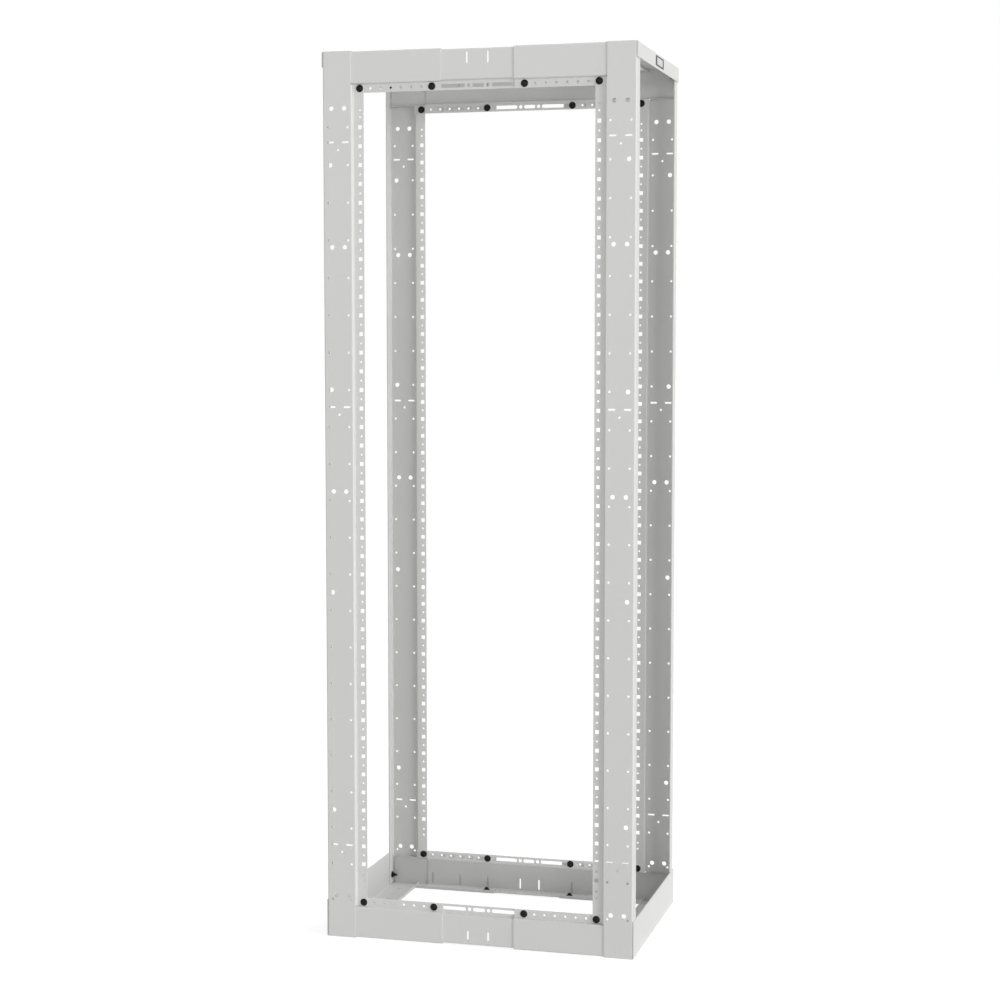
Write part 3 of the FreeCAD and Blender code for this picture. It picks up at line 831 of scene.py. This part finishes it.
@dataclass
class CrossbarFasteners:
    """The bolts and nuts of one telescoping crossbar. Turns are in radians."""

    end: End
    level: Level
    datum: RackDatum
    finish: bpy.types.Material
    edge_to_bolt: float = 9.8 * MM
    end_to_clamp: float = 23.5 * MM
    shelf_line: float = 231.1 * MM
    head_turn: float = 0.35
    nut_turn_share: float = 1.3
    shelf_nut_turn: float = 0.4

    def height_of(self, above_floor: float) -> float:
        """Mirrors a height for the upper crossbars.

        Args:
            above_floor: the height at a lower crossbar.

        Returns:
            The height at this one.
        """
        if self.level is Level.TOP:
            return self.datum.height - above_floor
        return above_floor

    def add(self, what: str, shapes: Sequence[tuple[bpy.types.Mesh, Matrix]]) -> None:
        """Adds a piece that is named after its crossbar.

        Args:
            what: the last words of the piece's name.
            shapes: each shape's mesh and transform.
        """
        name = f"{self.end.name}_{self.level.name}_bar_{what}".lower()
        add_piece(name, gathered(shapes, name), [self.finish])

    def build(self) -> None:
        """Makes the crossbar's bolts, its nuts and its shelf fasteners."""
        datum = self.datum
        out = float(self.end.value)
        corner, clamp = datum.hole_line, datum.sleeve_end + self.end_to_clamp
        height = self.height_of(datum.bar_edge - self.edge_to_bolt)
        head, nut = DomedHead().mesh(), FlangedNut().mesh()
        heads, nuts = [], []
        rows = ((corner, datum.rail_face), (clamp, datum.rail_face - datum.sheet))
        for side in Side:
            for across, face in rows:
                x = side.value * across
                turn = self.head_turn * side.value + across
                heads.append((head, seat((x, out * face, height), (0, out, 0), turn)))
                behind = (x, out * (face - SHEETS_JOINED * datum.sheet), height)
                turn *= self.nut_turn_share
                nuts.append((nut, seat(behind, (0, -out, 0), turn)))
        self.add("bolts", heads)
        self.add("nuts", nuts)
        self.build_shelf_fasteners(clamp)

    def build_shelf_fasteners(self, clamp: float) -> None:
        """Makes the two upright fasteners of the crossbar's shelf.

        Args:
            clamp: how far they stand from the middle of the rack.
        """
        face, sheet = self.datum.shelf_face, self.datum.sheet
        up = -float(self.level.value)
        nut = FlangedNut(height=6.0 * MM, stands_out=2.0 * MM).mesh()
        head = FlushHead(radius=6.0 * MM, rise=0.9 * MM).mesh()
        inside = self.height_of(face + SHEETS_JOINED * sheet)
        outside = self.height_of(face)
        shapes = []
        for side in Side:
            x, y = side.value * clamp, self.end.value * self.shelf_line
            turn = self.shelf_nut_turn * side.value
            shapes.append((nut, seat((x, y, inside), (0, 0, up), turn)))
            shapes.append((head, seat((x, y, outside), (0, 0, -up))))
        self.add("shelf_fasteners", shapes)


@dataclass
class BeamFasteners:
    """The studs that tie one side beam to its two posts. The turn is in radians."""

    side: Side
    level: Level
    datum: RackDatum
    nut_finish: bpy.types.Material
    head_finish: bpy.types.Material
    stud_line: float = 241.25 * MM
    stud_height: float = 26.5 * MM
    nut_turn: float = 0.3

    def build(self) -> None:
        """Makes the beam's inner nuts and its painted outer heads."""
        datum = self.datum
        out = float(self.side.value)
        height = self.stud_height
        if self.level is Level.TOP:
            height = datum.height - self.stud_height
        nut = FlangedNut(stands_out=7.0 * MM).mesh()
        head = FlushHead(radius=5.6 * MM, rise=0.5 * MM).mesh()
        inside = out * (datum.beam_face - SHEETS_JOINED * datum.sheet)
        outside = out * datum.beam_face
        nuts, heads = [], []
        for end in End:
            y = end.value * self.stud_line
            spot = seat((inside, y, height), (-out, 0, 0), self.nut_turn)
            nuts.append((nut, spot))
            heads.append((head, seat((outside, y, height), (out, 0, 0))))
        stem = f"{self.side.name}_{self.level.name}_beam".lower()
        add_piece(f"{stem}_nuts", gathered(nuts, stem), [self.nut_finish])
        add_piece(
            f"{stem}_stud_heads", gathered(heads, stem), [self.head_finish]
        )


@dataclass
class BlankPlate:
    """The small bare plate on the outside of the right upper beam."""

    datum: RackDatum
    face: bpy.types.Material
    border: bpy.types.Material
    length: float = 98.0 * MM
    width: float = 24.0 * MM
    thickness: float = 0.5 * MM
    field_rise: float = 0.2 * MM
    long_border: float = 3.6 * MM
    end_border: float = 15.0 * MM
    corner: float = 1.5 * MM
    corner_facets: int = 5
    above_beam_foot: float = 18.2 * MM
    behind_middle: float = 4.0 * MM

    def slab(
        self,
        shape: bmesh.types.BMesh,
        length: float,
        width: float,
        rise: float,
        finish: int,
    ) -> None:
        """Adds a thin slab with rounded corners.

        Args:
            shape: the mesh that gets the slab.
            length: its size along X.
            width: its size along Y.
            rise: its size along Z.
            finish: the number of its material.
        """
        slab = bmesh.new()
        bmesh.ops.create_grid(slab, x_segments=1, y_segments=1, size=0.5)
        bmesh.ops.scale(slab, vec=(length, width, 1.0), verts=slab.verts[:])
        bmesh.ops.bevel(
            slab,
            geom=slab.verts[:],
            offset=self.corner,
            offset_type="OFFSET",
            segments=self.corner_facets,
            profile=0.5,
            affect="VERTICES",
            material=-1,
        )
        raised = bmesh.ops.extrude_face_region(slab, geom=slab.faces[:])["geom"]
        bmesh.ops.translate(
            slab,
            vec=(0.0, 0.0, rise),
            verts=[part for part in raised if isinstance(part, bmesh.types.BMVert)],
        )
        for face in slab.faces:
            face.material_index = finish
        data = finished(slab, "slab")
        shape.from_mesh(data)
        bpy.data.meshes.remove(data)

    def build(self) -> None:
        """Makes the plate: a dark border and a bare field that stands off it."""
        low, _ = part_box("right_top_side_beam")
        shape = bmesh.new()
        self.slab(shape, self.length, self.width, self.thickness, 1)
        self.slab(
            shape,
            self.length - 2.0 * self.end_border,
            self.width - 2.0 * self.long_border,
            self.thickness + self.field_rise,
            0,
        )
        middle = Vector(
            (self.datum.beam_face, self.behind_middle, low.z + self.above_beam_foot)
        )
        spot = seat(middle, (1, 0, 0))
        bmesh.ops.transform(shape, matrix=spot, verts=shape.verts[:])
        data = finished(shape, "blank_plate")
        add_piece("blank_plate", data, [self.face, self.border])


# ----------------------------------------------------------------- sheet metal


@dataclass
class SheetMetal:
    """The folded pieces of the frame, which only get their paint here."""

    posts: PowderCoat = PowderCoat("post_powder_coat")
    bars: PowderCoat = PowderCoat("bar_powder_coat", cloud=0.22)
    beams: PowderCoat = PowderCoat("beam_powder_coat", cloud=0.28)

    def dress(self) -> bpy.types.Material:
        """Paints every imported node.

        Returns:
            The beams' paint, which their stud heads share.
        """
        bars = self.bars.material()
        paints = {
            "post": self.posts.material(),
            "bar": bars,
            "sleeve": bars,
            "beam": self.beams.material(),
        }
        for name, node in frame["nodes"].items():
            paint = next(paints[word] for word in paints if name.endswith(word))
            node.data.materials.clear()
            node.data.materials.append(paint)
            log.info("%s: %s", name, paint.name)
        return paints["beam"]


# ---------------------------------------------------------------------- studio


@dataclass(frozen=True)
class Lamp:
    """A broad distant lamp. Its spread is in degrees."""

    name: str
    comes_from: tuple[float, float, float]
    strength: float
    spread: float

    def hang(self) -> None:
        """Puts the lamp in the scene."""
        data = bpy.data.lights.new(self.name, "SUN")
        data.energy = self.strength
        data.angle = math.radians(self.spread)
        lamp = bpy.data.objects.new(self.name, data)
        lamp.rotation_euler = Vector(self.comes_from).to_track_quat("Z", "Y").to_euler()
        bpy.context.scene.collection.objects.link(lamp)


@dataclass
class Studio:
    """The pale floor, the soft light and the camera. Angles are in radians."""

    camera_place: tuple[float, float, float] = (1.3390, -4.9901, 1.4719)
    camera_tilt: float = -0.0796
    camera_heading: float = 0.2646
    lens: float = 75.15
    sensor: float = 36.0
    clip: tuple[float, float] = (0.1, 400.0)
    floor_size: float = 120.0
    sky_light: float = 0.36
    lamps: tuple[Lamp, ...] = (
        Lamp("front", (0.04, -1.00, 0.02), 0.66, 8.0),
        Lamp("low_right", (0.95, -0.30, 0.05), 0.78, 12.0),
        Lamp("right_front", (0.85, -0.50, 0.15), 0.66, 16.0),
        Lamp("high_right", (0.60, -0.10, 0.80), 1.38, 30.0),
        Lamp("rear_left", (-0.55, 1.00, 0.30), 0.80, 40.0),
    )

    def build(self) -> None:
        """Sets the whole studio up."""
        self.build_camera()
        self.build_floor()
        self.build_world()
        for lamp in self.lamps:
            lamp.hang()
        bpy.context.scene.view_settings.view_transform = "Standard"

    def build_camera(self) -> None:
        """Makes the camera."""
        data = bpy.data.cameras.new("camera")
        data.lens, data.sensor_width = self.lens, self.sensor
        data.clip_start, data.clip_end = self.clip
        camera = bpy.data.objects.new("camera", data)
        camera.location = self.camera_place
        camera.rotation_euler = (
            math.pi / 2 + self.camera_tilt,
            0.0,
            self.camera_heading,
        )
        bpy.context.scene.collection.objects.link(camera)
        bpy.context.scene.camera = camera

    def build_floor(self) -> None:
        """Lays the floor."""
        shape = bmesh.new()
        bmesh.ops.create_grid(
            shape, x_segments=2, y_segments=2, size=self.floor_size / 2
        )
        data = finished(shape, "floor")
        data.materials.append(StudioWhite("studio_white").material())
        floor = bpy.data.objects.new("floor", data)
        bpy.context.scene.collection.objects.link(floor)

    def build_world(self) -> None:
        """Makes the even light from all round, and the white behind the rack."""
        world = bpy.data.worlds.new("studio")
        world.use_nodes = True
        graph = Graph(world.node_tree)
        light, seen = (
            graph.node(
                "ShaderNodeBackground",
                None,
                {"Color": (1.0, 1.0, 1.0, 1.0), "Strength": strength},
            )
            for strength in (self.sky_light, 1.0)
        )
        mixed = graph.split_rays(
            light.outputs["Background"], seen.outputs["Background"]
        )
        graph.node("ShaderNodeOutputWorld", None, {"Surface": mixed})
        bpy.context.scene.world = world


def main() -> None:
    """Builds the studio and dresses the rack, sub-assembly by sub-assembly."""
    logging.basicConfig(level=logging.INFO, format="%(message)s", stream=sys.stdout)
    Studio().build()
    beam_paint = SheetMetal().dress()
    datum = RackDatum.read()
    black = BlackOxide("black_fasteners").material()
    for level in Level:
        for end in End:
            CrossbarFasteners(end, level, datum, black).build()
        for side in Side:
            BeamFasteners(side, level, datum, black, beam_paint).build()
    BlankPlate(
        datum,
        BrushedPlate("plate_face").material(),
        BlackOxide(
            "plate_border",
            colour=(0.016, 0.016, 0.017),
            rubbed=(0.030, 0.030, 0.031),
        ).material(),
    ).build()


if __name__ == "__main__":
    main()
